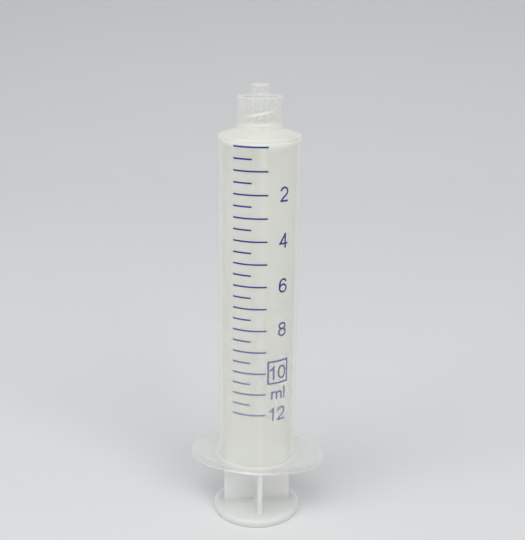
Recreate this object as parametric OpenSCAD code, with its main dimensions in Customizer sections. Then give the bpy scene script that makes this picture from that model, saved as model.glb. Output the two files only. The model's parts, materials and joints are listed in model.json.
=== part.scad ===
// Two-piece lock-tip syringe of 12 ml, stood on its thumb rest with the plunger fully in.
// Millimetres. +Z runs along the barrel from the thumb rest to the nozzle and the finger flange
// lies along X. The origin is the centre of the thumb rest's underside.

/* [Barrel] */
// Inside diameter of the barrel
bore_d = 15.9; // [13:0.1:20]
// Wall of the barrel tube
barrel_wall = 0.9; // [0.7:0.05:1.5]
// Length from the underside of the finger flange to the top of the front rim
barrel_len = 76.6; // [50:0.1:120]
// Bevel at the open mouth of the bore
mouth_bevel = 0.4; // [0.2:0.05:0.6]
// How far the front rim stands proud of the tube
rim_proud = 0.15; // [0.05:0.05:0.5]
// Height of the front rim
rim_h = 1.05; // [0.6:0.05:2]
// Rounding of the front rim
rim_round = 0.3; // [0.1:0.05:0.5]
// Rise of the conical shoulder, from the front rim to the foot of the lock collar
shoulder_rise = 1.45; // [0.8:0.05:3]
// Front wall, from the edge of the chamber up to the front rim
front_wall = 1.0; // [0.7:0.05:1.6]

/* [Retaining bead] */
// Distance of the bead in the bore from the open mouth
bead_in = 13.1; // [8:0.1:20]
// Width of the bead along the bore
bead_w = 0.9; // [0.5:0.1:2]
// Height of the bead above the bore
bead_proud = 0.12; // [0.08:0.01:0.15]

/* [Finger flange] */
// How far each wing of the flange reaches past the tube
flange_reach = 6.85; // [4:0.05:12]
// How far the flange stands past the tube at the front and back
flange_side = 0.55; // [0.4:0.05:4]
// Thickness of the flange
flange_t = 1.9; // [1.4:0.1:3]
// Rounding of the flange's edges
flange_edge = 0.5; // [0.2:0.05:0.6]
// Fillet between the flange and the tube
flange_fillet = 0.25; // [0.1:0.05:0.4]

/* [Lock tip] */
// Outside diameter of the lock collar
collar_d = 9.9; // [9.4:0.1:11]
// Inside diameter of the lock collar at the root of its thread
collar_root_d = 8.0; // [7.8:0.05:8.6]
// Height of the lock collar above the shoulder
collar_h = 6.65; // [5.5:0.05:8]
// Floor inside the lock collar, above the shoulder
collar_floor = 0.75; // [0.4:0.05:1.2]
// Fillet between the shoulder and the lock collar
collar_fillet = 0.6; // [0.2:0.1:1]
// Rounding of the lock collar's outer edge
collar_round = 0.25; // [0.1:0.05:0.3]
// Lead-in bevel at the mouth of the lock collar
collar_lead = 0.35; // [0.1:0.05:0.35]
// Diameter of the nozzle at its tip
nozzle_tip_d = 3.97; // [3.9:0.01:4.1]
// Taper of the nozzle on its diameter, 6 in 100 on a standard conical fitting
nozzle_taper = 0.06; // [0.05:0.005:0.07]
// How far the nozzle stands out of the lock collar
nozzle_out = 2.5; // [2.1:0.1:4]
// Rounding of the nozzle's tip
nozzle_round = 0.3; // [0.1:0.05:0.4]
// Diameter of the outlet through the nozzle
outlet_d = 2.1; // [1.2:0.1:2.6]

/* [Plunger] */
// Gap between the thumb rest and the finger flange with the plunger fully in
rest_gap = 11.4; // [6:0.1:25]
// Diameter of the thumb rest
thumb_d = 20.3; // [17:0.1:26]
// Thickness of the thumb rest
thumb_t = 1.8; // [1.2:0.1:3]
// Rounding of the thumb rest's edges
thumb_edge = 0.5; // [0.2:0.05:0.55]
// Thickness of the crossed ribs
rib_t = 1.1; // [0.8:0.05:2]
// Fillet at both ends of the ribs
rib_fillet = 0.6; // [0.2:0.1:1.2]
// Clearance between the ribs and the bore
rib_clear = 0.2; // [0.18:0.01:0.6]
// Turn of the ribs against the finger flange, in degrees
rib_turn = 13.5; // [0:0.5:90]

/* [Piston] */
// Height of the piston's sealing edge
piston_edge = 0.9; // [0.6:0.05:4]
// Bevel behind the piston's sealing edge
piston_bevel = 0.1; // [0.05:0.05:0.3]
// Running clearance between the piston and the bore
piston_clear = 0.04; // [0.02:0.01:0.08]
// Gap left in front of the piston with the plunger fully in
front_clear = 0.1; // [0.05:0.01:0.3]

/* [Hidden] */
$fn = 128;
ARC_STEPS = 8;
OVAL_STEPS = 96;
EDGE_STEPS = 4;
barrel_colour = "#dfe1da";
plunger_colour = "#eceee9";

// Radii
bore_r = bore_d / 2;
barrel_r = bore_r + barrel_wall;
rim_r = barrel_r + rim_proud;
collar_r = collar_d / 2;
collar_root_r = collar_root_d / 2;
outlet_r = outlet_d / 2;
piston_r = bore_r - piston_clear;
rib_r = bore_r - rib_clear;
thumb_r = thumb_d / 2;

// Heights, counted up from the thumb rest
flange_z = thumb_t + rest_gap;
flange_top_z = flange_z + flange_t;
bead_z = flange_z + bead_in;
rim_z = flange_z + barrel_len;
shoulder_z = rim_z + shoulder_rise;
collar_top_z = shoulder_z + collar_h;
collar_floor_z = shoulder_z + collar_floor;
nozzle_tip_z = collar_top_z + nozzle_out;
chamber_z = rim_z - front_wall;
piston_top_z = chamber_z - front_clear;
piston_z = piston_top_z - piston_edge;

// Slope of the shoulder, which the front wall and the piston's face follow
shoulder_run = rim_r - collar_r;
shoulder_angle = atan2(shoulder_rise, shoulder_run);
shoulder_slope = shoulder_rise / shoulder_run;

// Radius of the tapered nozzle at height z
function nozzle_r(z) = (nozzle_tip_d + nozzle_taper * (nozzle_tip_z - z)) / 2;

// Height at radius r of a cone that leaves radius from_r at height from_z with the shoulder's slope
function cone_z(r, from_r, from_z) = from_z + (from_r - r) * shoulder_slope;

// How far the centre of a rounding lies from a corner between an upright and the shoulder
function corner_shift(radius) = radius * (1 - sin(shoulder_angle)) / cos(shoulder_angle);

// Points of an arc from angle a to angle b
function arc(centre, radius, a, b) =
    [for (i = [0 : ARC_STEPS]) let (t = a + (b - a) * i / ARC_STEPS) centre + radius * [cos(t), sin(t)]];

// Points of a low bead across the bore, from its top edge to its bottom edge
function bead_points() =
    [for (i = [0 : ARC_STEPS]) let (t = i / ARC_STEPS)
        [bore_r - bead_proud * sin(180 * t), bead_z + bead_w * (0.5 - t)]];

function oval(half_l, half_w) =
    [for (i = [0 : OVAL_STEPS - 1]) let (t = 360 * i / OVAL_STEPS) [half_l * cos(t), half_w * sin(t)]];

// Wall of the barrel: up the outside from the flange, round the lock tip and back down the bore
module barrel_wall_profile() {
    polygon(concat(
        [[bore_r + mouth_bevel, flange_z], [barrel_r, flange_z]],
        [[barrel_r + flange_fillet, flange_top_z - flange_edge]],
        arc([barrel_r + flange_fillet, flange_top_z + flange_fillet], flange_fillet, 270, 180),
        [[barrel_r, rim_z - rim_h - rim_proud], [rim_r, rim_z - rim_h]],
        arc([rim_r - rim_round, rim_z - corner_shift(rim_round)], rim_round, 0, 90 - shoulder_angle),
        arc([collar_r + collar_fillet, shoulder_z + corner_shift(collar_fillet)], collar_fillet,
            270 - shoulder_angle, 180),
        arc([collar_r - collar_round, collar_top_z - collar_round], collar_round, 0, 90),
        [[collar_root_r + collar_lead, collar_top_z], [collar_root_r, collar_top_z - collar_lead]],
        [[collar_root_r, collar_floor_z], [nozzle_r(collar_floor_z), collar_floor_z]],
        arc([nozzle_r(nozzle_tip_z - nozzle_round) - nozzle_round, nozzle_tip_z - nozzle_round],
            nozzle_round, 0, 90),
        [[outlet_r, nozzle_tip_z], [outlet_r, cone_z(outlet_r, bore_r, chamber_z)], [bore_r, chamber_z]],
        bead_points(),
        [[bore_r, flange_z + mouth_bevel]]
    ));
}

// Oval finger flange with rounded edges, open at the tube
module finger_flange() {
    half_l = barrel_r + flange_reach;
    half_w = barrel_r + flange_side;
    difference() {
        hull()
            for (i = [0 : EDGE_STEPS]) {
                turn = 90 * i / EDGE_STEPS;
                inset = flange_edge * (1 - sin(turn));
                drop = flange_edge * (1 - cos(turn));
                translate([0, 0, flange_z + drop])
                    linear_extrude(flange_t - 2 * drop) polygon(oval(half_l - inset, half_w - inset));
            }
        translate([0, 0, flange_z - flange_t])
            cylinder(r = bore_r + barrel_wall * 0.75, h = 3 * flange_t);
    }
}

module barrel() {
    color(barrel_colour)
    union() {
        rotate_extrude() barrel_wall_profile();
        finger_flange();
    }
}

// Round push plate of the plunger
module thumb_rest() {
    edge_r = thumb_r - thumb_edge;
    rotate_extrude()
        polygon(concat(
            [[0, 0]],
            arc([edge_r, thumb_edge], thumb_edge, 270, 360),
            arc([edge_r, thumb_t - thumb_edge], thumb_edge, 0, 90),
            [[0, thumb_t]]
        ));
}

// One web of the crossed ribs, seen on its end. It runs into the thumb rest and the piston, with a
// fillet on each side where it leaves them.
module rib_profile() {
    side = rib_t / 2 + rib_fillet;
    foot_z = thumb_t / 2;
    head_z = piston_z + piston_edge / 2;
    polygon(concat(
        [[side, foot_z]],
        arc([side, thumb_t + rib_fillet], rib_fillet, 270, 180),
        arc([side, piston_z - rib_fillet], rib_fillet, 180, 90),
        [[side, head_z], [-side, head_z]],
        arc([-side, piston_z - rib_fillet], rib_fillet, 90, 0),
        arc([-side, thumb_t + rib_fillet], rib_fillet, 0, -90),
        [[-side, foot_z]]
    ));
}

module crossed_ribs() {
    intersection() {
        for (turn = [rib_turn, rib_turn + 90])
            rotate([90, 0, turn]) translate([0, 0, -bore_r]) linear_extrude(2 * bore_r) rib_profile();
        cylinder(r = rib_r, h = piston_top_z);
    }
}

// Piston moulded on the ribs, with a face that follows the chamber's front wall
module piston() {
    rotate_extrude()
        polygon([
            [0, piston_z],
            [piston_r - piston_bevel, piston_z],
            [piston_r, piston_z + piston_bevel],
            [piston_r, piston_top_z],
            [outlet_r, cone_z(outlet_r, piston_r, piston_top_z)],
            [0, cone_z(outlet_r, piston_r, piston_top_z)],
        ]);
}

module plunger() {
    color(plunger_colour)
    union() {
        thumb_rest();
        crossed_ribs();
        piston();
    }
}

barrel();
plunger();
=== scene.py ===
"""Looks of a two-piece lock-tip syringe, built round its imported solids.

The barrel and the plunger are modelled again with finer edges, the lock thread is cut into the
collar, and the printed scale is laid on the barrel. Everything is in metres, in the frame of the
solids: +Z runs from the thumb rest to the nozzle and the finger flange lies along X.
"""

import json
import math

import bmesh
import bpy
from bpy.props import FloatProperty, FloatVectorProperty, IntProperty, PointerProperty
from bpy.types import Operator, Panel, PropertyGroup
from mathutils import Matrix, Vector
from mathutils.geometry import interpolate_bezier


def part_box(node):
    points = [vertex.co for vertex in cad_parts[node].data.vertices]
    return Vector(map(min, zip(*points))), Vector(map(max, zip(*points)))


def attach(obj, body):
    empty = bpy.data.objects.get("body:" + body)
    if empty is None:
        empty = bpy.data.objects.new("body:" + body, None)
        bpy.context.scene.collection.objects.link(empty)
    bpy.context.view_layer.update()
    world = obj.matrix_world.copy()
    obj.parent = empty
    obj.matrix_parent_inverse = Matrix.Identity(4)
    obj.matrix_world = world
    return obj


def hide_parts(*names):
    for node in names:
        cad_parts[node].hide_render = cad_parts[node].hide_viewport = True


bl_info = {
    "name": "Lock-tip syringe",
    "version": (1, 0, 0),
    "blender": (4, 5, 0),
    "location": "3D View > Sidebar > Syringe",
    "description": "Models and finishes a 12 ml two-piece syringe round its packed solids",
    "category": "Object",
}

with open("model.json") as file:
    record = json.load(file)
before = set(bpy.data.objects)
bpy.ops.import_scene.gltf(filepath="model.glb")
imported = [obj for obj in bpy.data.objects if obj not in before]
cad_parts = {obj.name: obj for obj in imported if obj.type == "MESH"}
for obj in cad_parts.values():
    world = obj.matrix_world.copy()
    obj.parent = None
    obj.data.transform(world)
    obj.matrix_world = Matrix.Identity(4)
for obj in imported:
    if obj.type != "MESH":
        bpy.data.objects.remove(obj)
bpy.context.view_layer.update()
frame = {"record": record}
MM = 0.001


def linear(hex_colour):
    """Linear red, green and blue of an sRGB hex colour."""
    shares = [int(hex_colour[i : i + 2], 16) / 255 for i in (1, 3, 5)]
    return [s / 12.92 if s <= 0.04045 else ((s + 0.055) / 1.055) ** 2.4 for s in shares]


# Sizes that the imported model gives, in millimetres
BARREL_LOW, BARREL_HIGH = (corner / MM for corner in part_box("barrel"))
PLUNGER_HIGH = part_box("plunger")[1] / MM
MOUNT_SIZES = {mount["name"]: mount["dims"] for mount in frame["record"]["mounts"]}
TUBE_R = MOUNT_SIZES["barrel_outside"]["r_mm"]
OUTLET_R = MOUNT_SIZES["nozzle_outlet"]["r_mm"]

# Steps of the spun barrel, of the roundings on a profile and of those on a rib's section
SPIN_STEPS = 320
ROUND_STEPS = 8
RIB_ROUND_STEPS = 3
# Distance from a rounding at which a loop of edges keeps the long faces flat to the eye
HOLD = 0.3 * MM
# Vertices closer than this are merged, and one this close to a surface counts as on it
MERGE = 0.0002 * MM
TOUCH = 0.001 * MM
# Edges that turn more than this stay crisp
CRISP_ANGLE = math.radians(32)
# Small roundings of the barrel: its plain edges, the collar's lead-in, the nozzle's root, and the
# foot and the top of the bead in the bore
EDGE_ROUND = 0.1 * MM
LEAD_ROUND = 0.08 * MM
ROOT_ROUND = 0.2 * MM
BEAD_FOOT_ROUND = 1.0 * MM
BEAD_TOP_ROUND = 0.6 * MM
# How far the flange is spun past the tube before it is drawn out to its oval, and the flat that
# is always left between its fillet and its rounded edge
SPUN_FLANGE = 3 * MM
FLANGE_FLAT = 0.05 * MM
# Lock thread: starts, the side of the collar on which a crest's height is given, half of a
# ridge's width at its crest and foot, the length over which it runs out towards the mouth, and
# rows of faces along the wall
THREAD_STARTS = 2
THREAD_SIDE = math.radians(7)
THREAD_HALF_CREST = 0.12 * MM
THREAD_HALF_BASE = 0.75 * MM
THREAD_FADE = 1.8 * MM
THREAD_ROWS = 84
# Points along each side of a rib in section, and the place of the extra point on its outer edge as
# a share of half its thickness
RIB_STEPS = 9
RIB_MIDDLE = 0.4
# Print, in millimetres: width of the columns that are bent, depth of the ink's root in the tube,
# the step in thickness between strokes that overlap, and the distance at which points are one
PRINT_COLUMN = 0.35
INK_ROOT = 0.01
STROKE_STEP = 0.0015
PRINT_TOUCH = 0.0001
# Smallest cosine of half a corner's turn, which limits how far a pointed corner is drawn out
MITRE_LIMIT = 0.45

# Stage: a paper sweep that runs under the object and up behind it, in metres
SWEEP_HALF_W = 3
SWEEP_FRONT = -3
SWEEP_BACK = 0.52
SWEEP_TOP = 2.5
SWEEP_BEND = 0.12
SWEEP_STEPS = 16
FLOOR_Z = -0.02 * MM
# Light of the room: its colour, and its strength on matt surfaces, in reflections and as the camera
# sees it past the sweep
WORLD_COLOUR = linear("#F7F8FA")
WORLD_STRENGTH = 0.42
WORLD_MIRRORED = 0.95
WORLD_SEEN = 0.6
# The point that the lights face
LIT_POINT = Vector((0, 0, 0.05))
# Name, azimuth from the front and elevation in degrees, distance, size in metres, power in watts
SOFTBOXES = (
    ("softbox_top", -5, 62, 0.8, 0.4, 1.8),
    ("softbox_left", -46, 38, 0.8, 0.4, 1.7),
    ("softbox_right", 42, 38, 0.8, 0.4, 2.08),
)
# Camera: its place, its turn about the upright, tilt and roll in radians, its lens and sensor in
# millimetres, and the nearest and farthest distance that it sees in metres
CAMERA_PLACE = Vector((25.17, -197.96, 120.71)) * MM
CAMERA_TURN = (math.radians(7), math.radians(90 - 17.07), 0.0115)
CAMERA_LENS = 62.355
CAMERA_SENSOR = 36
CAMERA_CLIP = (0.01, 50)
# Surfaces that a ray may cross on its way through walls, thread and nozzle
SEE_THROUGH_LAYERS = 32
# Bounces of light between pale walls before it is given up
GLOW_BOUNCES = 12


def length(name, description, millimetres):
    """A size that a user may change, written in millimetres."""
    return FloatProperty(
        name=name,
        description=description,
        default=millimetres * MM,
        min=0.0,
        precision=5,
        subtype="DISTANCE",
        unit="LENGTH",
    )


def turn(name, description, degrees):
    """An angle that a user may change, written in degrees."""
    return FloatProperty(
        name=name,
        description=description,
        default=math.radians(degrees),
        subtype="ANGLE",
        unit="ROTATION",
    )


def colour(name, description, hex_colour):
    """A colour that a user may change, written as sRGB hex."""
    return FloatVectorProperty(
        name=name,
        description=description,
        default=linear(hex_colour),
        size=3,
        min=0.0,
        max=1.0,
        subtype="COLOR",
    )


class BarrelSizes(PropertyGroup):
    """Sizes of the barrel moulding."""

    bore_r: length("Bore radius", "Inside radius of the tube", 7.95)
    tube_r: length("Tube radius", "Outside radius of the tube", TUBE_R)
    mouth_bevel: length("Mouth bevel", "Bevel at the open mouth of the bore", 0.4)
    flange_z: length("Flange underside", "Height of the finger flange's underside", BARREL_LOW.z)
    flange_t: length("Flange thickness", "Thickness of the finger flange", 1.9)
    flange_half_l: length("Flange half length", "Half of the oval flange's length", BARREL_HIGH.x)
    flange_half_w: length("Flange half width", "Half of the oval flange's width", BARREL_HIGH.y)
    flange_edge: length("Flange edge", "Rounding of the flange's edges", 0.5)
    flange_fillet: length("Flange fillet", "Fillet between flange and tube", 0.25)
    bead_z: length("Bead height", "Height of the retaining bead in the bore", 26.3)
    bead_w: length("Bead width", "Width of the retaining bead", 0.9)
    bead_proud: length("Bead rise", "How far the bead stands into the bore", 0.12)
    chamber_z: length("Chamber edge", "Height at which the bore meets the front wall", 88.8)
    rim_z: length("Front rim", "Height of the top of the front rim", 89.8)
    rim_r: length("Rim radius", "Radius of the front rim", 9.0)
    rim_h: length("Rim height", "Height of the front rim", 1.05)
    rim_round: length("Rim rounding", "Rounding of the front rim", 0.3)
    shoulder_z: length("Collar foot", "Height at which the shoulder meets the collar", 91.25)
    collar_r: length("Collar radius", "Outside radius of the lock collar", 4.95)
    collar_fillet: length("Collar fillet", "Fillet between shoulder and collar", 0.6)
    collar_top_z: length("Collar top", "Height of the lock collar's mouth", 97.9)
    collar_round: length("Collar rounding", "Rounding of the collar's outer edge", 0.25)
    collar_lead: length("Collar lead-in", "Lead-in bevel at the collar's mouth", 0.35)
    collar_root_r: length("Thread root radius", "Inside radius of the collar at its thread", 4.0)
    collar_floor_z: length("Collar floor", "Height of the floor inside the collar", 92.0)
    thread_lead: length("Thread lead", "Rise of the lock thread in one turn", 5.0)
    thread_rise: length("Thread height", "How far the thread stands in from its root", 0.45)
    thread_crest_z: length("Thread crest", "Height of a crest on the camera's side", 94.65)
    nozzle_tip_z: length("Nozzle tip", "Height of the nozzle's tip", BARREL_HIGH.z)
    nozzle_tip_r: length("Nozzle tip radius", "Radius of the tapered nozzle at its tip", 1.985)
    nozzle_root_r: length("Nozzle root radius", "Radius of the nozzle at the collar floor", 2.237)
    nozzle_round: length("Nozzle rounding", "Rounding of the nozzle's tip", 0.3)
    outlet_r: length("Outlet radius", "Radius of the outlet through the nozzle", OUTLET_R)


class PlungerSizes(PropertyGroup):
    """Sizes of the plunger moulding."""

    thumb_r: length("Thumb rest radius", "Radius of the round thumb rest", PLUNGER_HIGH.x)
    thumb_t: length("Thumb rest thickness", "Thickness of the thumb rest", 1.8)
    thumb_edge: length("Thumb rest edge", "Rounding of the thumb rest's upper edge", 0.8)
    thumb_foot: length("Thumb rest foot", "Rounding of the thumb rest's lower edge", 0.35)
    rib_r: length("Rib reach", "Distance of the ribs' outer edges from the axis", 7.75)
    rib_t: length("Rib thickness", "Thickness of the crossed ribs", 1.1)
    rib_round: length("Rib edge", "Rounding of the ribs' outer edges", 0.15)
    rib_fillet: length("Rib end fillet", "Fillet at both ends of the ribs", 0.6)
    rib_core: length("Rib core fillet", "Fillet where the ribs cross", 0.4)
    rib_turn: turn("Rib turn", "Turn of the ribs against the flange", 13.5)
    piston_z: length("Piston underside", "Height of the piston's underside", 87.8)
    piston_top_z: length("Piston edge", "Height of the top of the sealing edge", 88.7)
    piston_r: length("Piston radius", "Radius of the sealing edge", 7.91)
    piston_bevel: length("Piston bevel", "Bevel behind the sealing edge", 0.1)
    nose_r: length("Nose radius", "Radius of the flat at the piston's tip", OUTLET_R)
    nose_z: length("Nose height", "Height of the piston's tip", PLUNGER_HIGH.z)


class ScaleSizes(PropertyGroup):
    """Sizes and places of the printed scale."""

    zero_z: length("Zero mark", "Height of the 0 ml mark", 88.4)
    per_ml: length("Length of 1 ml", "Distance between whole millilitres", 5.0365)
    millilitres: IntProperty(
        name="Millilitres", description="Last mark of the scale", default=12, min=1, max=60
    )
    left: turn("Left ends", "Place of the marks' left ends round the barrel", -31.2)
    half_right: turn("Half marks", "Place of the half marks' right ends", -3.35)
    whole_right: turn("Whole marks", "Place of the whole marks' right ends", 19.1)
    numbers_at: turn("Numbers", "Place of the single numbers' middle round the barrel", 43.8)
    pairs_at: turn("Paired numbers", "Place of the middle of 10 and 12", 37.0)
    pair_tighten: length("Pair spacing", "How much closer the digits of 10 and 12 stand", 0.25)
    unit_at: turn("Unit", "Place of the unit's middle round the barrel", 39.0)
    box_at: turn("Box", "Place of the middle of the box round the nominal volume", 38.3)
    line_w: length("Line width", "Width of the marks", 0.345)
    stroke_w: length("Stroke width", "Width of the numbers' strokes", 0.38)
    digit_h: length("Number height", "Height of the numbers", 3.3)
    unit_h: length("Unit height", "Height of the unit's tall letter", 2.75)
    box_w: length("Box width", "Outside width of the box round the nominal volume", 5.25)
    box_h: length("Box height", "Outside height of the box round the nominal volume", 5.6)
    box_rise: length("Box rise", "How far the middle of the box stands above its mark", 0.13)
    ink_t: length("Ink film", "Height of the ink above the tube", 0.02)


class Finish(PropertyGroup):
    """Colours of the object and of the stage."""

    barrel: colour("Barrel", "Tint of the translucent polypropylene", "#EAEBE1")
    plunger: colour("Plunger", "Tint of the milky polyethylene", "#E8E9E4")
    ink: colour("Ink", "Blue of the printed scale", "#0D2274")
    floor: colour("Floor", "Paper under the object", "#DEDFE0")
    # The bend's lighter tone and the greyer tone up the wall are painted light and shade
    bend: colour("Bend", "Paper where the sweep starts to rise", "#ECEDEF")
    distance: colour("Distance", "Paper up the wall", "#D1D2D5")


class SyringeSettings(PropertyGroup):
    """All settings of the syringe."""

    barrel: PointerProperty(type=BarrelSizes)
    plunger: PointerProperty(type=PlungerSizes)
    scale: PointerProperty(type=ScaleSizes)
    finish: PointerProperty(type=Finish)


# Materials


def add_node(tree, kind, sockets=None, stops=(), **settings):
    """Adds a shader node, such as Math or Mix, and returns its outputs. A socket takes a value, or
    an output of another node to link from. The stops of a ramp are pairs of a place from 0 to 1
    and a colour."""
    node = tree.nodes.new("ShaderNode" + kind)
    for name, value in settings.items():
        setattr(node, name, value)
    for number, (place, tone) in enumerate(stops):
        if number < 2:
            stop = node.color_ramp.elements[number]
        else:
            stop = node.color_ramp.elements.new(place)
        stop.position = place
        stop.color = (*tone, 1)
    for name, value in (sockets or {}).items():
        if isinstance(value, bpy.types.NodeSocket):
            tree.links.new(value, node.inputs[name])
        else:
            node.inputs[name].default_value = value
    return node.outputs


def new_material(name):
    """An empty node material, with its tree and the coordinates of the object that wears it."""
    material = bpy.data.materials.new(name)
    material.use_nodes = True
    material.node_tree.nodes.clear()
    place = add_node(material.node_tree, "TexCoord")["Object"]
    return material, material.node_tree, place


def ramp_stops(table):
    """Stops of a ramp for a table of sizes and shares, from its first size to its last."""
    low, high = table[0][0], table[-1][0]
    return [((size - low) / (high - low), [share] * 3) for size, share in table]


# Where most values of a noise lie
NOISE_RANGE = (0.3, 0.7)

# How much of the view one wall of the barrel veils face on, by height in millimetres: the tube, the
# thick foot of the front rim, the shoulder, the collar's foot and the clear tip
VEIL_BY_HEIGHT = (
    (60.0, 0.34),
    (87.0, 0.4),
    (88.5, 0.4),
    (88.8, 0.62),
    (89.1, 0.62),
    (89.4, 0.46),
    (89.7, 0.46),
    (90.1, 0.42),
    (91.2, 0.42),
    (91.7, 0.5),
    (92.1, 0.5),
    (92.9, 0.1),
)
# The same for the lock thread seen through the nearer wall, by distance from the axis in
# millimetres, and the share of its veil that the thread on the farther wall loses
NEAR_THREAD = ((2.5, 0.0), (2.7, 0.0), (3.0, 0.6), (3.6, 0.6), (3.8, 0.0), (4.0, 0.0))
FAR_THREAD = ((2.5, 0.0), (2.7, 0.9), (3.9, 0.9), (4.0, 0.0))
# A wall seen edge on, on the body and on the tip
EDGE_VEIL = 0.7
TIP_EDGE_VEIL = 0.95
# The lower lip of the flange carries a painted highlight, for the light that runs through the
# plastic and comes out there: it is made nearly opaque and whiter. The painted highlight is
# brightest where the tube's wall ends close behind it, and fades along the wings by distance
# from the axis.
LIP_HIGHLIGHT_VEIL = 0.98
LIP_R = (9.5, 10.8)
LIP_SHARE = 0.4
LIP_PAINTED_HIGHLIGHT = "#FBFAF3"
# The mouths of the collar and the nozzle carry a painted highlight: their faces that look up
# are made more opaque, so that they show lighter
MOUTH_HIGHLIGHT_VEIL = 0.7
# How far a face is tilted where the lip and the mouths start and are full: -1 is down and 1 is up
LIP_TILT = (-0.97, -0.85)
MOUTH_TILT = (0.3, 0.9)
# Thick plastic shows white: the veils between which the tint turns to it
THICK_VEIL = (0.34, 0.58)
THICK_WHITE = "#F2F3EC"
# The flange veils this share of what the tube does, and both take more from a lamp than they veil
FLANGE_SHARE = 0.38
TUBE_SHADOW = 0.36
FLANGE_SHADOW = 0.75
# Where the tube turns to the flange by distance from the axis, the heights of its lower lip, where
# the shoulder turns to the tip, and where the thread and the mouths of the tip start, in
# millimetres
FLANGE_R = (9.4, 10.2)
LIP_Z = (14.1, 13.7)
TIP_Z = (91.3, 91.9)
THREAD_Z = (92.02, 92.1)
MOUTH_Z = (97.2, 97.4)
# Melt: width of its cloudy patches and its streaks in millimetres, how much a streak is drawn out
# along the tube, and the tint of the darker patches
MELT_CLOUD = 6
MELT_STREAK = 1.2
MELT_STRETCH = 0.04
MELT_SHADE = 0.965
# Roughness of the tip and of the body, and what a cloudy patch adds
TIP_ROUGH = 0.24
BODY_ROUGH = 0.3
CLOUD_ROUGH = 0.1


def barrel_veil(tree, height, radius, body):
    """How much of the view the barrel's walls veil, by height and distance from the axis, and the
    two parts of it that whiten the plastic: the thick walls, and the lip of the flange, whose
    whitening is a painted highlight."""
    # Veil face on, by height and thinner on the flange
    low, high = VEIL_BY_HEIGHT[0][0], VEIL_BY_HEIGHT[-1][0]
    up = add_node(
        tree, "MapRange", {"Value": height, "From Min": low * MM, "From Max": high * MM}
    )["Result"]
    wall = add_node(tree, "ValToRGB", {"Fac": up}, ramp_stops(VEIL_BY_HEIGHT))["Color"]
    thin = add_node(
        tree,
        "MapRange",
        {
            "Value": radius,
            "From Min": FLANGE_R[0] * MM,
            "From Max": FLANGE_R[1] * MM,
            "To Min": 1,
            "To Max": FLANGE_SHARE,
        },
    )["Result"]
    face_on = add_node(tree, "Math", {0: wall, 1: thin}, operation="MULTIPLY")["Value"]

    # Veil edge on, which reaches further in on the tip's thin walls
    facing = add_node(tree, "LayerWeight", {"Blend": 0.5})["Facing"]
    narrow = add_node(tree, "Math", {0: body, 1: 1}, operation="ADD")["Value"]
    edge_on = add_node(tree, "Math", {0: facing, 1: narrow}, operation="POWER")["Value"]
    edge_veil = add_node(
        tree, "MapRange", {"Value": body, "To Min": TIP_EDGE_VEIL, "To Max": EDGE_VEIL}
    )["Result"]
    veil = add_node(
        tree, "MapRange", {"Value": edge_on, "To Min": face_on, "To Max": edge_veil}
    )["Result"]

    # Painted highlight on the lower lip of the flange, without its flat underside
    geometry = add_node(tree, "NewGeometry")
    lip = add_node(
        tree,
        "MapRange",
        {"Value": height, "From Min": LIP_Z[0] * MM, "From Max": LIP_Z[1] * MM, "To Max": LIP_HIGHLIGHT_VEIL},
    )["Result"]
    tilt = add_node(tree, "SeparateXYZ", {"Vector": geometry["Normal"]})["Z"]
    round_edge = add_node(
        tree, "MapRange", {"Value": tilt, "From Min": LIP_TILT[0], "From Max": LIP_TILT[1]}
    )["Result"]
    by_tube = add_node(
        tree,
        "MapRange",
        {
            "Value": radius,
            "From Min": LIP_R[0] * MM,
            "From Max": LIP_R[1] * MM,
            "To Min": 1,
            "To Max": LIP_SHARE,
        },
    )["Result"]
    for share in (round_edge, by_tube):
        lip = add_node(tree, "Math", {0: lip, 1: share}, operation="MULTIPLY")["Value"]

    # Painted highlight on the mouths of the tip, where they face up
    top = add_node(
        tree,
        "MapRange",
        {"Value": height, "From Min": MOUTH_Z[0] * MM, "From Max": MOUTH_Z[1] * MM},
    )["Result"]
    mouth = add_node(
        tree,
        "MapRange",
        {"Value": tilt, "From Min": MOUTH_TILT[0], "From Max": MOUTH_TILT[1], "To Max": MOUTH_HIGHLIGHT_VEIL},
    )["Result"]
    mouth = add_node(tree, "Math", {0: mouth, 1: top}, operation="MULTIPLY")["Value"]

    # Light that the tube and the flange take from a lamp
    taken = add_node(
        tree,
        "MapRange",
        {
            "Value": radius,
            "From Min": FLANGE_R[0] * MM,
            "From Max": FLANGE_R[1] * MM,
            "To Min": TUBE_SHADOW,
            "To Max": FLANGE_SHADOW,
        },
    )["Result"]
    lamp = add_node(tree, "LightPath")["Is Shadow Ray"]
    taken = add_node(tree, "Math", {0: lamp, 1: taken}, operation="MULTIPLY")["Value"]
    for share in (lip, mouth, taken):
        veil = add_node(tree, "Math", {0: veil, 1: share}, operation="MAXIMUM")["Value"]

    # Ridges of the thread, which show through the wall that is nearer to the eye. Other walls veil
    # once, where they are entered.
    threaded = add_node(
        tree,
        "MapRange",
        {"Value": height, "From Min": THREAD_Z[0] * MM, "From Max": THREAD_Z[1] * MM},
    )["Result"]
    inner, outer = NEAR_THREAD[0][0], NEAR_THREAD[-1][0]
    out = add_node(
        tree, "MapRange", {"Value": radius, "From Min": inner * MM, "From Max": outer * MM}
    )["Result"]
    ridges = []
    for thread in (NEAR_THREAD, FAR_THREAD):
        ridge = add_node(tree, "ValToRGB", {"Fac": out}, ramp_stops(thread))["Color"]
        ridge = add_node(tree, "Math", {0: ridge, 1: threaded}, operation="MULTIPLY")["Value"]
        ridges.append(ridge)
    near, far = ridges
    veil = add_node(tree, "MapRange", {"Value": far, "To Min": veil, "To Max": 0.0})["Result"]
    veil = add_node(tree, "Mix", {"Factor": geometry["Backfacing"], "A": veil, "B": near})["Result"]
    return veil, wall, lip


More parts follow.
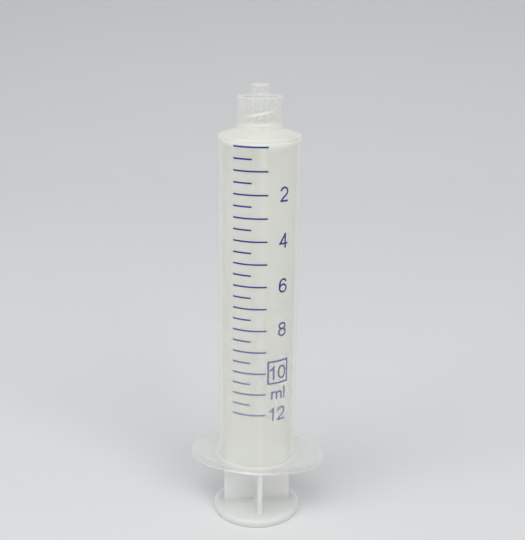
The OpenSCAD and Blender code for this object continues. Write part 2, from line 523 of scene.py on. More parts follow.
def hazy_polypropylene(tint):
    """Natural polypropylene, moulded in a polished tool. Its walls are a milky veil, thin face on
    and whiter edge on, where more plastic is looked through, and clearest in the tip and the
    flange. The surface keeps a gloss that is sharper at the tip, and the melt leaves faint streaks
    along the tube and cloudy patches a few millimetres wide. The lower lip of the flange and the
    mouths of the tip carry painted highlights."""
    material, tree, place = new_material("polypropylene_moulded_hazy")
    material.use_backface_culling = True
    height = add_node(tree, "SeparateXYZ", {"Vector": place})["Z"]
    across = add_node(tree, "Mapping", {"Vector": place, "Scale": (1, 1, 0)})["Vector"]
    radius = add_node(tree, "VectorMath", {0: across}, operation="LENGTH")["Value"]
    body = add_node(
        tree,
        "MapRange",
        {
            "Value": height,
            "From Min": TIP_Z[0] * MM,
            "From Max": TIP_Z[1] * MM,
            "To Min": 1,
            "To Max": 0,
        },
    )["Result"]
    veil, wall, lip = barrel_veil(tree, height, radius, body)

    # Cloudy patches and streaks of the melt
    cloud = add_node(
        tree, "TexNoise", {"Vector": place, "Scale": 1 / (MELT_CLOUD * MM), "Detail": 3.0}
    )["Fac"]
    milky = add_node(
        tree,
        "Mix",
        {"Factor": cloud, "A": (*[share * MELT_SHADE for share in tint], 1), "B": (*tint, 1)},
        data_type="RGBA",
    )["Result"]
    thick = add_node(
        tree, "MapRange", {"Value": wall, "From Min": THICK_VEIL[0], "From Max": THICK_VEIL[1]}
    )["Result"]
    # The lip's share of both whites below is its painted highlight
    thick = add_node(tree, "Math", {0: thick, 1: lip}, operation="MAXIMUM")["Value"]
    for share, white in ((thick, THICK_WHITE), (lip, LIP_PAINTED_HIGHLIGHT)):
        milky = add_node(
            tree, "Mix", {"Factor": share, "A": milky, "B": (*linear(white), 1)}, data_type="RGBA"
        )["Result"]
    polish = add_node(
        tree, "MapRange", {"Value": body, "To Min": TIP_ROUGH, "To Max": BODY_ROUGH}
    )["Result"]
    gloss = add_node(
        tree, "Math", {0: cloud, 1: CLOUD_ROUGH, 2: polish}, operation="MULTIPLY_ADD"
    )["Value"]
    along = add_node(tree, "Mapping", {"Vector": place, "Scale": (1, 1, MELT_STRETCH)})["Vector"]
    streak = add_node(
        tree, "TexNoise", {"Vector": along, "Scale": 1 / (MELT_STREAK * MM), "Detail": 2.0}
    )["Fac"]
    relief = add_node(
        tree, "Bump", {"Height": streak, "Strength": 0.06, "Distance": 0.02 * MM}
    )["Normal"]
    # Its IOR is 1.49, and stands higher here because the veil dims the gloss as well
    shader = add_node(
        tree,
        "BsdfPrincipled",
        {
            "Base Color": milky,
            "Roughness": gloss,
            "Normal": relief,
            "IOR": 1.6,
            "Specular IOR Level": 0.8,
            "Subsurface Weight": body,
            "Subsurface Radius": (1.0, 1.0, 0.9),
            "Subsurface Scale": 1.0 * MM,
            "Alpha": veil,
        },
    )
    add_node(tree, "OutputMaterial", {"Surface": shader["BSDF"]})
    return material


# How much of the view one wall of the plunger veils, by height in millimetres: the ribs, the
# sealing edge and the piston's thin face
PLUNGER_VEIL = ((87.5, 0.74), (87.8, 1.0), (88.7, 1.0), (88.9, 0.6))
# The sealing edge is pressed on the bore without air between them, so it shows whiter
SEAL_WHITE = "#F8F9F4"
# Width of its cloudy patches and of the tool's grain in millimetres, the tint of the darker
# patches, and the roughness from the darker to the lighter ones
MILK_CLOUD = 5
MILK_GRAIN = 0.35
MILK_SHADE = 0.96
MILK_ROUGH = (0.42, 0.52)


def milky_polyethylene(tint):
    """Polyethylene, moulded with a satin surface. Light goes a few millimetres into it and through
    its thin ribs, so it looks milky and has little contrast, and the surface has a fine grain from
    the tool."""
    material, tree, place = new_material("polyethylene_moulded_satin")
    material.use_backface_culling = True
    height = add_node(tree, "SeparateXYZ", {"Vector": place})["Z"]
    low, high = PLUNGER_VEIL[0][0], PLUNGER_VEIL[-1][0]
    up = add_node(
        tree, "MapRange", {"Value": height, "From Min": low * MM, "From Max": high * MM}
    )["Result"]
    wall = add_node(tree, "ValToRGB", {"Fac": up}, ramp_stops(PLUNGER_VEIL))["Color"]
    (_, rib_veil), (_, seal_veil) = PLUNGER_VEIL[:2]
    seal = add_node(
        tree, "MapRange", {"Value": wall, "From Min": rib_veil, "From Max": seal_veil}
    )["Result"]
    inside = add_node(tree, "NewGeometry")["Backfacing"]
    veil = add_node(tree, "Mix", {"Factor": inside, "A": wall, "B": 0.0})["Result"]
    cloud = add_node(
        tree, "TexNoise", {"Vector": place, "Scale": 1 / (MILK_CLOUD * MM), "Detail": 3.0}
    )["Fac"]
    grain = add_node(
        tree, "TexNoise", {"Vector": place, "Scale": 1 / (MILK_GRAIN * MM), "Detail": 2.0}
    )["Fac"]
    satin = add_node(
        tree,
        "MapRange",
        {
            "Value": cloud,
            "From Min": NOISE_RANGE[0],
            "From Max": NOISE_RANGE[1],
            "To Min": MILK_ROUGH[0],
            "To Max": MILK_ROUGH[1],
        },
    )["Result"]
    milky = add_node(
        tree,
        "Mix",
        {"Factor": cloud, "A": (*[share * MILK_SHADE for share in tint], 1), "B": (*tint, 1)},
        data_type="RGBA",
    )["Result"]
    milky = add_node(
        tree, "Mix", {"Factor": seal, "A": milky, "B": (*linear(SEAL_WHITE), 1)}, data_type="RGBA"
    )["Result"]
    relief = add_node(
        tree, "Bump", {"Height": grain, "Strength": 0.15, "Distance": 0.01 * MM}
    )["Normal"]
    shader = add_node(
        tree,
        "BsdfPrincipled",
        {
            "Base Color": milky,
            "Roughness": satin,
            "Normal": relief,
            "IOR": 1.52,
            "Subsurface Weight": 1.0,
            "Subsurface Radius": (1.0, 1.0, 0.9),
            "Subsurface Scale": 5 * MM,
            "Alpha": veil,
        },
    )
    add_node(tree, "OutputMaterial", {"Surface": shader["BSDF"]})
    return material


# Width of the ink film's specks in millimetres, how much lighter their blue is, and the roughness
# from the darker to the lighter ones
INK_SPECK = 0.2
INK_LIGHTER = 1.25
INK_LIFT = 0.01
INK_ROUGH = (0.4, 0.55)
# Heights in millimetres from which the ink turns paler and greyer and where it is palest, the
# share of the pale tone there, and that tone
PALE_Z = (60, 28)
PALE_SHARE = 0.5
PALE_TONE = "#AFB6C4"


def printing_ink(tint):
    """Blue printing ink, rolled on in a thin film. It is opaque and satin, the film is a little
    uneven, so its blue varies in specks of a fifth of a millimetre, and it turns paler and greyer
    towards the lower end of the scale."""
    material, tree, place = new_material("printing_ink_blue")
    speck = add_node(
        tree, "TexNoise", {"Vector": place, "Scale": 1 / (INK_SPECK * MM), "Detail": 2.0}
    )["Fac"]
    lighter = [min(1, share * INK_LIGHTER + INK_LIFT) for share in tint]
    film = add_node(
        tree, "Mix", {"Factor": speck, "A": (*tint, 1), "B": (*lighter, 1)}, data_type="RGBA"
    )["Result"]
    height = add_node(tree, "SeparateXYZ", {"Vector": place})["Z"]
    # Paler and greyer towards the lower end of the scale
    thin = add_node(
        tree,
        "MapRange",
        {
            "Value": height,
            "From Min": PALE_Z[0] * MM,
            "From Max": PALE_Z[1] * MM,
            "To Max": PALE_SHARE,
        },
    )["Result"]
    film = add_node(
        tree, "Mix", {"Factor": thin, "A": film, "B": (*linear(PALE_TONE), 1)}, data_type="RGBA"
    )["Result"]
    satin = add_node(
        tree,
        "MapRange",
        {
            "Value": speck,
            "From Min": NOISE_RANGE[0],
            "From Max": NOISE_RANGE[1],
            "To Min": INK_ROUGH[0],
            "To Max": INK_ROUGH[1],
        },
    )["Result"]
    shader = add_node(
        tree, "BsdfPrincipled", {"Base Color": film, "Roughness": satin, "IOR": 1.5}
    )
    add_node(tree, "OutputMaterial", {"Surface": shader["BSDF"]})
    return material


# Depth of the sweep along the floor and up the wall at which each tone of its paper stands, in
# metres. The tones paint the room's light and shade on the paper: lighter before the bend and
# greyer up the wall.
PAPER_NEAR, PAPER_BEND, PAPER_RISE, PAPER_FAR = 0.0, 0.40, 0.49, 0.62


def backdrop_paper(near, bend, far):
    """Matt paper, pale under the object, with painted light and shade: lightest before its bend and
    greyer up the wall.
    """
    material, tree, place = new_material("backdrop_paper_matt")
    axes = add_node(tree, "SeparateXYZ", {"Vector": place})
    depth = add_node(tree, "Math", {0: axes["Y"], 1: axes["Z"]}, operation="ADD")["Value"]
    share = add_node(
        tree, "MapRange", {"Value": depth, "From Min": PAPER_NEAR, "From Max": PAPER_FAR}
    )["Result"]
    tones = ((PAPER_NEAR, near), (PAPER_FAR, far), (PAPER_BEND, bend), (PAPER_RISE, near))
    stops = [(metres / PAPER_FAR, tone) for metres, tone in tones]
    paper = add_node(tree, "ValToRGB", {"Fac": share}, stops)["Color"]
    shader = add_node(tree, "BsdfPrincipled", {"Base Color": paper, "Roughness": 0.9})
    add_node(tree, "OutputMaterial", {"Surface": shader["BSDF"]})
    return material


# Meshes


def arc_steps(start, end, count=ROUND_STEPS):
    """Cosines and sines of even steps between two angles in degrees."""
    angles = [math.radians(start + (end - start) * i / count) for i in range(count + 1)]
    return [(math.cos(a), math.sin(a)) for a in angles]


def wire(bm, corners):
    """A closed line through (radius, height, rounding) corners in the XZ plane. Each corner is
    rounded, and long edges get a vertex near either end, which keeps the smooth shading there."""
    verts = [bm.verts.new((radius, 0, height)) for radius, height, _ in corners]
    for pair in zip(verts, verts[1:] + verts[:1]):
        bm.edges.new(pair)
    for vert, (_, _, rounding) in zip(verts, corners):
        if rounding:
            a, b = (edge.other_vert(vert).co - vert.co for edge in vert.link_edges)
            bmesh.ops.bevel(
                bm,
                geom=[vert],
                offset=rounding / math.tan(a.angle(b) / 2),
                offset_type="ABSOLUTE",
                segments=ROUND_STEPS,
                profile=0.5,
                affect="VERTICES",
                material=-1,
            )
    for edge in list(bm.edges):
        size = edge.calc_length()
        if size > 3 * HOLD:
            start, end = edge.verts
            _, held = bmesh.utils.edge_split(edge, start, HOLD / size)
            rest = next(e for e in held.link_edges if end in e.verts)
            bmesh.utils.edge_split(rest, end, HOLD / (size - HOLD))


def raise_line(bm, line, places, closed=True):
    """Extrudes a line of vertices to new places, and returns the new line in the same order."""
    ends = line[1:] + line[:1] if closed else line[1:]
    edges = [bm.edges.get(pair) for pair in zip(line, ends)]
    made = set(bmesh.ops.extrude_edge_only(bm, edges=edges)["geom"])
    raised = [next(e.other_vert(v) for e in v.link_edges if e.other_vert(v) in made) for v in line]
    for vert, place in zip(raised, places):
        vert.co = place
    return raised


def make_piece(name, bm, material, body):
    """Cleans a mesh, and makes it a piece that rides on a body."""
    bmesh.ops.remove_doubles(bm, verts=bm.verts, dist=MERGE)
    bmesh.ops.recalc_face_normals(bm, faces=bm.faces)
    for face in bm.faces:
        face.smooth = True
    for edge in bm.edges:
        edge.smooth = edge.calc_face_angle(0.0) < CRISP_ANGLE
    mesh = bpy.data.meshes.new(name)
    bm.to_mesh(mesh)
    bm.free()
    mesh.materials.append(material)
    piece = bpy.data.objects.new(name, mesh)
    bpy.context.scene.collection.objects.link(piece)
    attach(piece, body)
    return piece


def barrel_corners(s):
    """The barrel's wall in section: along the flange, up the tube, round the lock tip and back
    down the bore. The flange is spun round here and drawn out to its oval afterwards."""
    flange_top = s.flange_z + s.flange_t
    spun_edge = s.tube_r + SPUN_FLANGE
    rim_low = s.rim_z - s.rim_h
    slope = (s.shoulder_z - s.rim_z) / (s.rim_r - s.collar_r)
    return [
        (s.bore_r + s.mouth_bevel, s.flange_z, EDGE_ROUND),
        (spun_edge, s.flange_z, s.flange_edge),
        (spun_edge, flange_top, s.flange_edge),
        (s.tube_r, flange_top, s.flange_fillet),
        (s.tube_r, rim_low - (s.rim_r - s.tube_r), EDGE_ROUND),
        (s.rim_r, rim_low, EDGE_ROUND),
        (s.rim_r, s.rim_z, s.rim_round),
        (s.collar_r, s.shoulder_z, s.collar_fillet),
        (s.collar_r, s.collar_top_z, s.collar_round),
        (s.collar_root_r + s.collar_lead, s.collar_top_z, LEAD_ROUND),
        (s.collar_root_r, s.collar_top_z - s.collar_lead, 0),
        (s.collar_root_r, s.collar_floor_z, 0),
        (s.nozzle_root_r, s.collar_floor_z, ROOT_ROUND),
        (s.nozzle_tip_r, s.nozzle_tip_z, s.nozzle_round),
        (s.outlet_r, s.nozzle_tip_z, EDGE_ROUND),
        (s.outlet_r, s.chamber_z + (s.bore_r - s.outlet_r) * slope, EDGE_ROUND),
        (s.bore_r, s.chamber_z, EDGE_ROUND),
        (s.bore_r, s.bead_z + s.bead_w / 2, BEAD_FOOT_ROUND),
        (s.bore_r - s.bead_proud, s.bead_z, BEAD_TOP_ROUND),
        (s.bore_r, s.bead_z - s.bead_w / 2, BEAD_FOOT_ROUND),
        (s.bore_r, s.flange_z + s.mouth_bevel, EDGE_ROUND),
    ]


def draw_out_flange(bm, s):
    """Moves the spun flange out to its oval. The rounded edge keeps its width on the wings, and
    is narrower at the front and back, where the flange hardly stands past the tube."""
    foot = s.tube_r + s.flange_fillet
    spun_edge = s.tube_r + SPUN_FLANGE
    spun_flat = spun_edge - s.flange_edge
    for vert in bm.verts:
        radius = math.hypot(vert.co.x, vert.co.y)
        if radius < foot + TOUCH or vert.co.z > s.flange_z + s.flange_t + TOUCH:
            continue
        way = Vector((vert.co.x, vert.co.y)) / radius
        outer = math.hypot(s.flange_half_l * way.x, s.flange_half_w * way.y)
        edge = min(s.flange_edge, outer - foot - FLANGE_FLAT)
        inset = edge * min(1, (spun_edge - radius) / s.flange_edge)
        oval = Vector(((s.flange_half_l - inset) * way.x, (s.flange_half_w - inset) * way.y))
        share = min(1, (radius - foot) / (spun_flat - foot))
        vert.co.xy = (way * foot).lerp(oval, share)


def cut_thread(bm, s):
    """Moves the collar's inner wall in along a right-hand thread of two starts."""
    pitch = s.thread_lead / THREAD_STARTS
    low, high = s.collar_floor_z, s.collar_top_z - s.collar_lead
    for vert in bm.verts:
        radius = math.hypot(vert.co.x, vert.co.y)
        if abs(radius - s.collar_root_r) > TOUCH or not low < vert.co.z < high:
            continue
        turns = (math.atan2(vert.co.x, -vert.co.y) - THREAD_SIDE) / math.tau
        steps = (vert.co.z - s.thread_crest_z) / pitch - turns * THREAD_STARTS
        away = abs(steps - round(steps)) * pitch
        rise = min(1, max(0, (THREAD_HALF_BASE - away) / (THREAD_HALF_BASE - THREAD_HALF_CREST)))
        fade = min(1, (high - vert.co.z) / THREAD_FADE)
        inward = s.thread_rise * rise * rise * (3 - 2 * rise) * fade
        vert.co.xy *= (radius - inward) / radius


class SYRINGE_OT_barrel(Operator):
    """Model the barrel with its finger flange, front rim, nozzle and threaded lock collar"""

    bl_idname = "syringe.barrel"
    bl_label = "Barrel"

    def execute(self, context):
        settings = context.scene.syringe
        s = settings.barrel
        bm = bmesh.new()
        wire(bm, barrel_corners(s))
        threaded = [
            edge
            for edge in bm.edges
            if edge.calc_length() > 2 * HOLD
            and all(abs(vert.co.x - s.collar_root_r) < TOUCH for vert in edge.verts)
        ]
        bmesh.ops.subdivide_edges(bm, edges=threaded, cuts=THREAD_ROWS)
        bmesh.ops.spin(
            bm,
            geom=bm.verts[:] + bm.edges[:],
            cent=(0, 0, 0),
            axis=(0, 0, 1),
            angle=math.tau,
            steps=SPIN_STEPS,
            use_merge=True,
        )
        draw_out_flange(bm, s)
        cut_thread(bm, s)
        plastic = hazy_polypropylene(settings.finish.barrel)
        piece = make_piece("barrel_moulding", bm, plastic, "barrel")
        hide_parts("barrel")
        return {"FINISHED"}


def rib_outline(s, flare):
    """Section of the crossed ribs as points round the axis, with their sides flared out."""
    side = s.rib_t / 2 + flare
    tip = math.sqrt(s.rib_r**2 - side**2)
    core = side + s.rib_core
    widths = (0, RIB_MIDDLE * side, side - 2 * s.rib_round, side - s.rib_round)
    half = [Vector((math.sqrt(s.rib_r**2 - y * y), y)) for y in widths]
    for across, up in arc_steps(0, 90, RIB_ROUND_STEPS)[1:]:
        half.append(Vector((tip - s.rib_round * (1 - across), side - s.rib_round * (1 - up))))
    start = tip - s.rib_round - HOLD
    for step in range(RIB_STEPS):
        half.append(Vector((start + (core - start) * step / (RIB_STEPS - 1), side)))
    for across, up in arc_steps(0, 45, RIB_ROUND_STEPS)[1:]:
        half.append(Vector((core - s.rib_core * up, core - s.rib_core * across)))
    quarter = half + [Vector((p.y, p.x)) for p in reversed(half[1:-1])]
    turns = [Matrix.Rotation(s.rib_turn + math.pi / 2 * k, 2) for k in range(4)]
    return [t @ p for t in turns for p in quarter]


class SYRINGE_OT_plunger(Operator):
    """Model the plunger with its thumb rest, crossed ribs and piston"""

    bl_idname = "syringe.plunger"
    bl_label = "Plunger"

    def execute(self, context):
        settings = context.scene.syringe
        s = settings.plunger
        count = len(rib_outline(s, 0))
        angles = [s.rib_turn + math.tau * i / count for i in range(count)]
        ways = [Vector((math.cos(a), math.sin(a))) for a in angles]
        sections = []

        def disc(radius, z):
            sections.append([(*(way * radius), z) for way in ways])

        def ribs(flare, z):
            sections.append([(*point, z) for point in rib_outline(s, flare)])

        rounded_r = s.thumb_r - s.thumb_edge
        foot_r = s.thumb_r - s.thumb_foot
        for across, up in arc_steps(-90, 0):
            disc(foot_r + s.thumb_foot * across, s.thumb_foot * (1 + up))
        for across, up in arc_steps(0, 90):
            disc(rounded_r + s.thumb_edge * across, s.thumb_t - s.thumb_edge * (1 - up))
        disc(rounded_r - HOLD, s.thumb_t)
        ribs(s.rib_fillet + HOLD, s.thumb_t)
        for across, up in arc_steps(-90, 0):
            ribs(s.rib_fillet * (1 - across), s.thumb_t + s.rib_fillet * (1 + up))
        ribs(0, s.thumb_t + s.rib_fillet + HOLD)
        ribs(0, s.piston_z - s.rib_fillet - HOLD)
        for across, up in arc_steps(0, 90):
            ribs(s.rib_fillet * (1 - across), s.piston_z - s.rib_fillet * (1 - up))
        disc(s.piston_r - s.piston_bevel, s.piston_z)
        disc(s.piston_r, s.piston_z + s.piston_bevel)
        disc(s.piston_r, s.piston_top_z)
        disc(s.nose_r, s.nose_z)
        bm = bmesh.new()
        line = bmesh.ops.create_circle(bm, cap_ends=True, segments=count, radius=foot_r)["verts"]
        for vert, place in zip(line, sections[0]):
            vert.co = place
        for section in sections[1:]:
            line = raise_line(bm, line, section)
        bmesh.ops.contextual_create(bm, geom=line)
        plastic = milky_polyethylene(settings.finish.plunger)
        piece = make_piece("plunger_moulding", bm, plastic, "plunger")
        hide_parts("plunger")
        return {"FINISHED"}


# Printed scale. It is drawn flat in millimetres, with x to the right round the barrel from the
# side that faces -Y and y up the barrel, and is then wrapped round the tube.


def wrap_print(bm, tube_r):
    """Cuts the flat print into narrow columns and wraps it round the tube."""
    reach = max(abs(vert.co.x) for vert in bm.verts)
    column = -math.floor(reach / PRINT_COLUMN)
    while column * PRINT_COLUMN < reach:
        bmesh.ops.bisect_plane(
            bm,
            geom=bm.verts[:] + bm.edges[:] + bm.faces[:],
            dist=PRINT_TOUCH,
            plane_co=(column * PRINT_COLUMN, 0, 0),
            plane_no=(1, 0, 0),
        )
        column += 1
    for vert in bm.verts:
        x, y, height = vert.co * MM
        angle = x / tube_r
        radius = tube_r + height
        vert.co = (radius * math.sin(angle), -radius * math.cos(angle), y)


def thicken(bm, faces, low, high):
    """Gives flat faces the thickness of an ink film."""
    made = bmesh.ops.extrude_face_region(bm, geom=faces)["geom"]
    top = [v for v in made if isinstance(v, bmesh.types.BMVert)]
    bottom = {v for face in faces for v in face.verts}
    for vert in top:
        vert.co.z = high
    for vert in bottom:
        vert.co.z = low


def ribbon(bm, points, width, low, high):
    """A strip of ink along points. It ends square, or joins up where its points do."""
    closed = (points[0] - points[-1]).length < PRINT_TOUCH
    if closed:
        points = points[:-1]
    count = len(points)
    left, right = [], []
    for i, point in enumerate(points):
        ahead = points[(i + 1) % count] - point
        behind = point - points[i - 1]
        if not closed and i == 0:
            behind = ahead
        if not closed and i == count - 1:
            ahead = behind
        run = (ahead.normalized() + behind.normalized()).normalized()
        reach = width / 2 / max(MITRE_LIMIT, run.dot(ahead.normalized()))
        across = Vector((-run.y, run.x)) * reach
        left.append((*(point + across), 0))
        right.append((*(point - across), 0))
    line = [bm.verts.new(place) for place in left]
    for pair in zip(line, line[1:] + line[:1] if closed else line[1:]):
        bm.edges.new(pair)
    before = set(bm.faces)
    raise_line(bm, line, right, closed)
    thicken(bm, [face for face in bm.faces if face not in before], low, high)


class SYRINGE_OT_scale_marks(Operator):
    """Print the marks of the scale on the barrel"""

    bl_idname = "syringe.scale_marks"
    bl_label = "Scale marks"

    def execute(self, context):
        settings = context.scene.syringe
        s = settings.scale
        tube_r = settings.barrel.tube_r
        bm = bmesh.new()
        for half in range(2 * s.millilitres + 1):
            right = s.half_right if half % 2 else s.whole_right
            y = (s.zero_z - s.per_ml * half / 2) / MM
            ends = [Vector((angle * tube_r / MM, y)) for angle in (s.left, right)]
            ribbon(bm, ends, s.line_w / MM, -INK_ROOT, s.ink_t / MM)
        wrap_print(bm, tube_r)
        make_piece("scale_marks", bm, printing_ink(settings.finish.ink), "barrel")
        return {"FINISHED"}


def bow(x, y, across, up, start=0, end=360, count=28):
    """Points on an oval between two angles in degrees."""
    return [Vector((x + across * c, y + up * s)) for c, s in arc_steps(start, end, count)]


def swing(*knots, count=12):
    """Points on a curve with the four given control points."""
    return list(interpolate_bezier(*[Vector(knot) for knot in knots], count))


def straight(*corners):
    """Points of a line with straight runs."""
    return [Vector(corner) for corner in corners]


# Plain upright numerals and letters as strokes along their middles, for a height of 1, with each
# one's width
DIGIT_W = 0.777
GLYPHS = {
    "0": (DIGIT_W, [bow(0.388, 0.5, 0.266, 0.436, count=40)]),
    "1": (
        DIGIT_W,
        [
            straight((0.459, 0), (0.459, 1)),
            swing((0.17, 0.69), (0.30, 0.75), (0.40, 0.84), (0.459, 0.97)),
        ],
    ),
    "2": (
        DIGIT_W,
        [
            bow(0.385, 0.672, 0.262, 0.264, 172, 0, 20)
            + swing((0.647, 0.672), (0.647, 0.46), (0.30, 0.36), (0.135, 0.06))[1:],
            straight((0.08, 0.064), (0.67, 0.064)),
        ],
    ),
    "4": (
        DIGIT_W,
        [
            straight((0.513, 0.93), (0.105, 0.30), (0.72, 0.30)),
            straight((0.513, 0), (0.513, 1)),
        ],
    ),
    "6": (
        DIGIT_W,
        [
            bow(0.390, 0.320, 0.264, 0.256),
            swing((0.126, 0.32), (0.110, 0.72), (0.22, 0.936), (0.41, 0.936))
            + swing((0.41, 0.936), (0.53, 0.936), (0.61, 0.87), (0.64, 0.745))[1:],
        ],
    ),
    "8": (DIGIT_W, [bow(0.388, 0.738, 0.226, 0.200), bow(0.388, 0.300, 0.264, 0.238)]),
    "m": (
        1.164,
        [
            straight((0.153, 0), (0.153, 0.724)),
            swing((0.153, 0.42), (0.16, 0.60), (0.26, 0.66), (0.38, 0.66))
            + swing((0.38, 0.66), (0.52, 0.66), (0.583, 0.58), (0.583, 0.42))[1:]
            + straight((0.583, 0)),
            swing((0.583, 0.42), (0.59, 0.60), (0.69, 0.66), (0.81, 0.66))
            + swing((0.81, 0.66), (0.95, 0.66), (1.010, 0.58), (1.010, 0.42))[1:]
            + straight((1.010, 0)),
        ],
    ),
    "l": (0.31, [straight((0.151, 0), (0.151, 1))]),
}
# Numbers of one and of two digits, the nominal volume in the box and the place of the unit, in
# millilitres
SINGLE_NUMBERS = (2, 4, 6, 8)
PAIRED_NUMBERS = (10, 12)
NOMINAL_ML = 10
UNIT_ML = 11


def unite(strokes, context):
    """Joins overlapping strokes into one closed mesh, and returns it as a bmesh."""
    objects = []
    for number, stroke in enumerate(strokes):
        mesh = bpy.data.meshes.new("stroke")
        stroke.to_mesh(mesh)
        stroke.free()
        objects.append(bpy.data.objects.new(f"stroke_{number}", mesh))
        context.scene.collection.objects.link(objects[-1])
    for other in objects[1:]:
        joint = objects[0].modifiers.new("joint", "BOOLEAN")
        joint.operation = "UNION"
        joint.solver = "EXACT"
        joint.object = other
    depsgraph = context.evaluated_depsgraph_get()
    bm = bmesh.new()
    bm.from_object(objects[0], depsgraph)
    for done in objects:
        mesh = done.data
        bpy.data.objects.remove(done)
        bpy.data.meshes.remove(mesh)
    return bm


def write_word(bm, word, height, middle, s, context, tighten=0.0):
    """Draws a number or unit, with its middle at a point of the flat print."""
    total = sum(GLYPHS[letter][0] * height - tighten for letter in word) + tighten
    pen = middle - Vector((total, height)) / 2
    for letter in word:
        width, strokes = GLYPHS[letter]
        made = []
        for number, stroke in enumerate(strokes):
            points = [pen + point * height for point in stroke]
            spare = number * STROKE_STEP
            strip = bmesh.new()
            ribbon(strip, points, s.stroke_w / MM, -INK_ROOT - spare, s.ink_t / MM + spare)
            bmesh.ops.recalc_face_normals(strip, faces=strip.faces)
            made.append(strip)
        glyph = unite(made, context)
        mesh = bpy.data.meshes.new("glyph")
        glyph.to_mesh(mesh)
        glyph.free()
        bm.from_mesh(mesh)
        bpy.data.meshes.remove(mesh)
        pen = pen + Vector((width * height - tighten, 0))


class SYRINGE_OT_scale_numbers(Operator):
    """Print the numbers, the unit and the box of the nominal volume on the barrel"""

    bl_idname = "syringe.scale_numbers"
    bl_label = "Scale numbers"

    def execute(self, context):
        settings = context.scene.syringe
        s = settings.scale
        tube_r = settings.barrel.tube_r

        def at(angle, millilitres):
            return Vector((angle * tube_r, s.zero_z - s.per_ml * millilitres)) / MM

        bm = bmesh.new()
        for number in SINGLE_NUMBERS:
            write_word(bm, str(number), s.digit_h / MM, at(s.numbers_at, number), s, context)
        for number in PAIRED_NUMBERS:
            middle = at(s.pairs_at, number)
            write_word(bm, str(number), s.digit_h / MM, middle, s, context, s.pair_tighten / MM)
        write_word(bm, "ml", s.unit_h / MM, at(s.unit_at, UNIT_ML), s, context)
        reach = Vector((s.box_w - s.stroke_w, s.box_h - s.stroke_w)) / (2 * MM)
        corners = [(-1, -1), (1, -1), (1, 1), (-1, 1), (-1, -1)]
        middle = at(s.box_at, NOMINAL_ML) + Vector((0, s.box_rise / MM))
        frame_line = [middle + Vector((reach.x * x, reach.y * y)) for x, y in corners]
        ribbon(bm, frame_line, s.stroke_w / MM, -INK_ROOT, s.ink_t / MM)
        wrap_print(bm, tube_r)
        ink = bpy.data.materials.get("printing_ink_blue") or printing_ink(settings.finish.ink)
        make_piece("scale_numbers", bm, ink, "barrel")
        return {"FINISHED"}


# Stage


def add_softbox(scene, name, azimuth, elevation, distance, size, power):
    """A square soft light that faces the middle of the object."""
    light = bpy.data.lights.new(name, "AREA")
    light.size = size
    light.energy = power
    lamp = bpy.data.objects.new(name, light)
    scene.collection.objects.link(lamp)
    a, e = math.radians(azimuth), math.radians(elevation)
    away = Vector((math.sin(a) * math.cos(e), -math.cos(a) * math.cos(e), math.sin(e)))
    lamp.location = LIT_POINT + away * distance
    lamp.rotation_mode = "QUATERNION"
    lamp.rotation_quaternion = away.to_track_quat("Z", "Y")


def add_sweep(scene, paper):
    """The paper sweep, a sheet that lies under the object and bends up behind it."""
    bm = bmesh.new()
    run = [(SWEEP_FRONT, FLOOR_Z), (SWEEP_BACK, FLOOR_Z), (SWEEP_BACK, SWEEP_TOP)]
    line = [bm.verts.new((-SWEEP_HALF_W, y, z)) for y, z in run]
    for pair in zip(line, line[1:]):
        bm.edges.new(pair)
    bmesh.ops.bevel(
        bm,
        geom=[line[1]],
        offset=SWEEP_BEND,
        segments=SWEEP_STEPS,
        profile=0.5,
        affect="VERTICES",
        material=-1,
    )
    wide = bmesh.ops.extrude_edge_only(bm, edges=bm.edges[:])["geom"]
    moved = [v for v in wide if isinstance(v, bmesh.types.BMVert)]
    bmesh.ops.translate(bm, verts=moved, vec=(2 * SWEEP_HALF_W, 0, 0))
    bmesh.ops.recalc_face_normals(bm, faces=bm.faces)
    for face in bm.faces:
        face.smooth = True
    mesh = bpy.data.meshes.new("paper_sweep")
    bm.to_mesh(mesh)
    bm.free()
    mesh.materials.append(paper)
    sweep = bpy.data.objects.new("paper_sweep", mesh)
    scene.collection.objects.link(sweep)


def add_world(scene):
    """The light of the room, brighter in reflections than on matt surfaces."""
    world = bpy.data.worlds.new("studio")
    world.use_nodes = True
    scene.world = world
    tree = world.node_tree
    tree.nodes.clear()
    ray = add_node(tree, "LightPath")
    mirrored = add_node(
        tree, "Math", {0: ray["Is Glossy Ray"], 1: ray["Is Transmission Ray"]}, operation="MAXIMUM"
    )["Value"]
    strength = add_node(
        tree, "MapRange", {"Value": mirrored, "To Min": WORLD_STRENGTH, "To Max": WORLD_MIRRORED}
    )["Result"]
    strength = add_node(
        tree, "MapRange", {"Value": ray["Is Camera Ray"], "To Min": strength, "To Max": WORLD_SEEN}
    )["Result"]
    light = add_node(
        tree, "Background", {"Color": (*WORLD_COLOUR, 1), "Strength": strength}
    )["Background"]
    add_node(tree, "OutputWorld", {"Surface": light})


def add_camera(scene):
    """The camera of the main view."""
    camera = bpy.data.cameras.new("camera")
    camera.lens = CAMERA_LENS
    camera.sensor_width = CAMERA_SENSOR
    camera.clip_start, camera.clip_end = CAMERA_CLIP
    view = bpy.data.objects.new("camera", camera)
    scene.collection.objects.link(view)
    yaw, pitch, roll = CAMERA_TURN
    view.matrix_world = (
        Matrix.Translation(CAMERA_PLACE)
        @ Matrix.Rotation(yaw, 4, "Z")
        @ Matrix.Rotation(pitch, 4, "X")
        @ Matrix.Rotation(roll, 4, "Z")
    )
    scene.camera = view


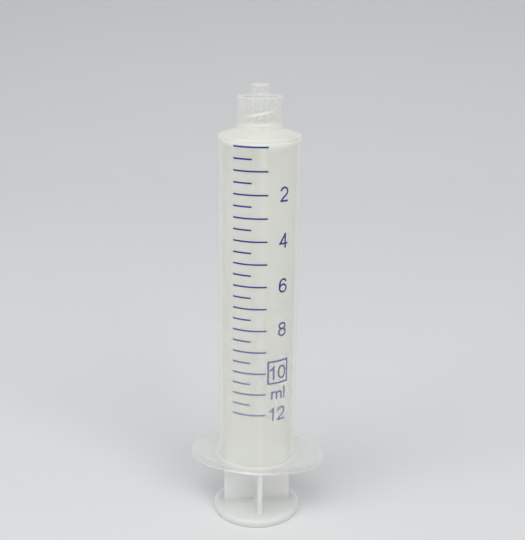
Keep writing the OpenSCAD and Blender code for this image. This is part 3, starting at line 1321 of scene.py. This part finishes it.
class SYRINGE_OT_stage(Operator):
    """Make the floor, the lights and the camera"""

    bl_idname = "syringe.stage"
    bl_label = "Stage"

    def execute(self, context):
        scene = context.scene
        finish = scene.syringe.finish
        add_sweep(scene, backdrop_paper(finish.floor, finish.bend, finish.distance))
        add_world(scene)
        for softbox in SOFTBOXES:
            add_softbox(scene, *softbox)
        add_camera(scene)
        scene.view_settings.view_transform = "Standard"
        scene.cycles.transparent_max_bounces = SEE_THROUGH_LAYERS
        scene.cycles.diffuse_bounces = GLOW_BOUNCES
        scene.cycles.transmission_bounces = SEE_THROUGH_LAYERS
        scene.cycles.max_bounces = SEE_THROUGH_LAYERS
        return {"FINISHED"}


class SYRINGE_PT_build(Panel):
    """Lists the pieces of the syringe and their settings"""

    bl_label = "Syringe"
    bl_space_type = "VIEW_3D"
    bl_region_type = "UI"
    bl_category = "Syringe"

    def draw(self, context):
        for step in BUILD_STEPS:
            self.layout.operator(step.bl_idname)
        settings = context.scene.syringe
        for group in (settings.barrel, settings.plunger, settings.scale, settings.finish):
            box = self.layout.box()
            for name in group.__annotations__:
                box.prop(group, name)


BUILD_STEPS = (
    SYRINGE_OT_barrel,
    SYRINGE_OT_plunger,
    SYRINGE_OT_scale_marks,
    SYRINGE_OT_scale_numbers,
    SYRINGE_OT_stage,
)
SETTINGS = (BarrelSizes, PlungerSizes, ScaleSizes, Finish, SyringeSettings)
CLASSES = (*SETTINGS, *BUILD_STEPS, SYRINGE_PT_build)


def register():
    """Registers the classes, and gives each scene the settings."""
    for item in CLASSES:
        bpy.utils.register_class(item)
    bpy.types.Scene.syringe = PointerProperty(type=SyringeSettings)


def unregister():
    """Takes back what register adds."""
    del bpy.types.Scene.syringe
    for item in reversed(CLASSES):
        bpy.utils.unregister_class(item)


def main():
    """Builds every piece and the stage."""
    register()
    bpy.ops.syringe.barrel()
    bpy.ops.syringe.plunger()
    bpy.ops.syringe.scale_marks()
    bpy.ops.syringe.scale_numbers()
    bpy.ops.syringe.stage()


if __name__ == "__main__":
    main()
